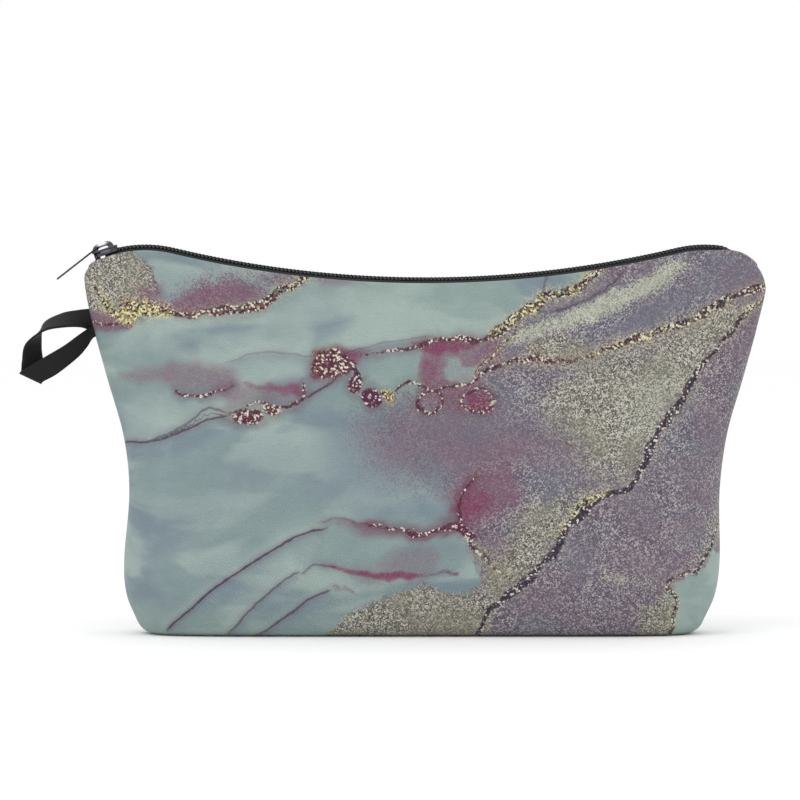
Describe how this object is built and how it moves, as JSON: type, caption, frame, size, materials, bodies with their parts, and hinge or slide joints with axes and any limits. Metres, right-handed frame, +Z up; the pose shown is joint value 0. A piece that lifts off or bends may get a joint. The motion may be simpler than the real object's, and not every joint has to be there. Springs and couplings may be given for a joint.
{
  "type": "zipped makeup pouch",
  "caption": "Soft makeup pouch with flared sides, boxed base, separate lining, coil zipper along a sagging top edge, slider with pull tab, and ribbon hanging loop.",
  "frame": {"origin": "middle of the base's underside, where the pouch rests", "axes": "+X along the zipper from the slider's closed end, -Y towards the front, +Z up"},
  "size_m": [0.2434, 0.0494, 0.1279],
  "materials": {
    "printed_cloth": "woven canvas with a marbled print",
    "lining_cloth": "plain woven lining",
    "binding_tape": "plain woven tape",
    "thread": "twisted sewing thread",
    "zipper_tape": "knitted zipper tape",
    "coil_nylon": "moulded coil",
    "slider_metal": "dark plated zinc",
    "tab_metal": "satin black",
    "ribbon": "grosgrain ribbon"
  },
  "bodies": {
    "pouch": {"base_panel": "printed_cloth", "base_lining": "lining_cloth", "left_side_binding": "binding_tape", "right_side_binding": "binding_tape", "left_side_stitches": "thread", "right_side_stitches": "thread", "left_corner_binding": "binding_tape", "right_corner_binding": "binding_tape", "loop_bartack": "thread"},
    "front_wall": {"front_panel": "printed_cloth", "front_lining": "lining_cloth", "front_zipper_tape": "zipper_tape", "front_coil": "coil_nylon", "front_zipper_stitches": "thread"},
    "back_wall": {"back_panel": "printed_cloth", "back_lining": "lining_cloth", "back_zipper_tape": "zipper_tape", "back_coil": "coil_nylon", "back_zipper_stitches": "thread"},
    "slider": {"slider_body": "slider_metal", "slider_bail": "slider_metal"},
    "pull": {"pull_tab": "tab_metal"},
    "loop": {"hanging_loop": "ribbon"}
  },
  "joints": [
    {"name": "slider_travel", "type": "slide", "parent": "pouch", "child": "slider", "axis": [1, 0, 0.005], "range_m": [0, 0.1866], "deforming": ["front_coil", "back_coil", "front_zipper_tape", "back_zipper_tape"]},
    {"name": "front_wall_open", "type": "hinge", "parent": "pouch", "child": "front_wall", "pos_m": [0, -0.0206, 0.0042], "axis": [1, 0, 0], "range_deg": [0, 20]},
    {"name": "back_wall_open", "type": "hinge", "parent": "pouch", "child": "back_wall", "pos_m": [0, 0.0206, 0.0042], "axis": [-1, 0, 0], "range_deg": [0, 20]},
    {"name": "pull_swing", "type": "hinge", "parent": "slider", "child": "pull", "pos_m": [-0.10693, 0, 0.12571], "axis": [0, 1, 0], "range_deg": [0, 185]},
    {"name": "loop_swing", "type": "hinge", "parent": "pouch", "child": "loop", "pos_m": [-0.1092, 0, 0.1021], "axis": [-0.2113, 0, 0.9774], "range_deg": [-25, 25]}
  ],
  "couplings": [
    {"joint": "front_wall_open", "follows": "slider_travel", "rad_per_m": 1.86},
    {"joint": "back_wall_open", "follows": "slider_travel", "rad_per_m": 1.86}
  ]
}
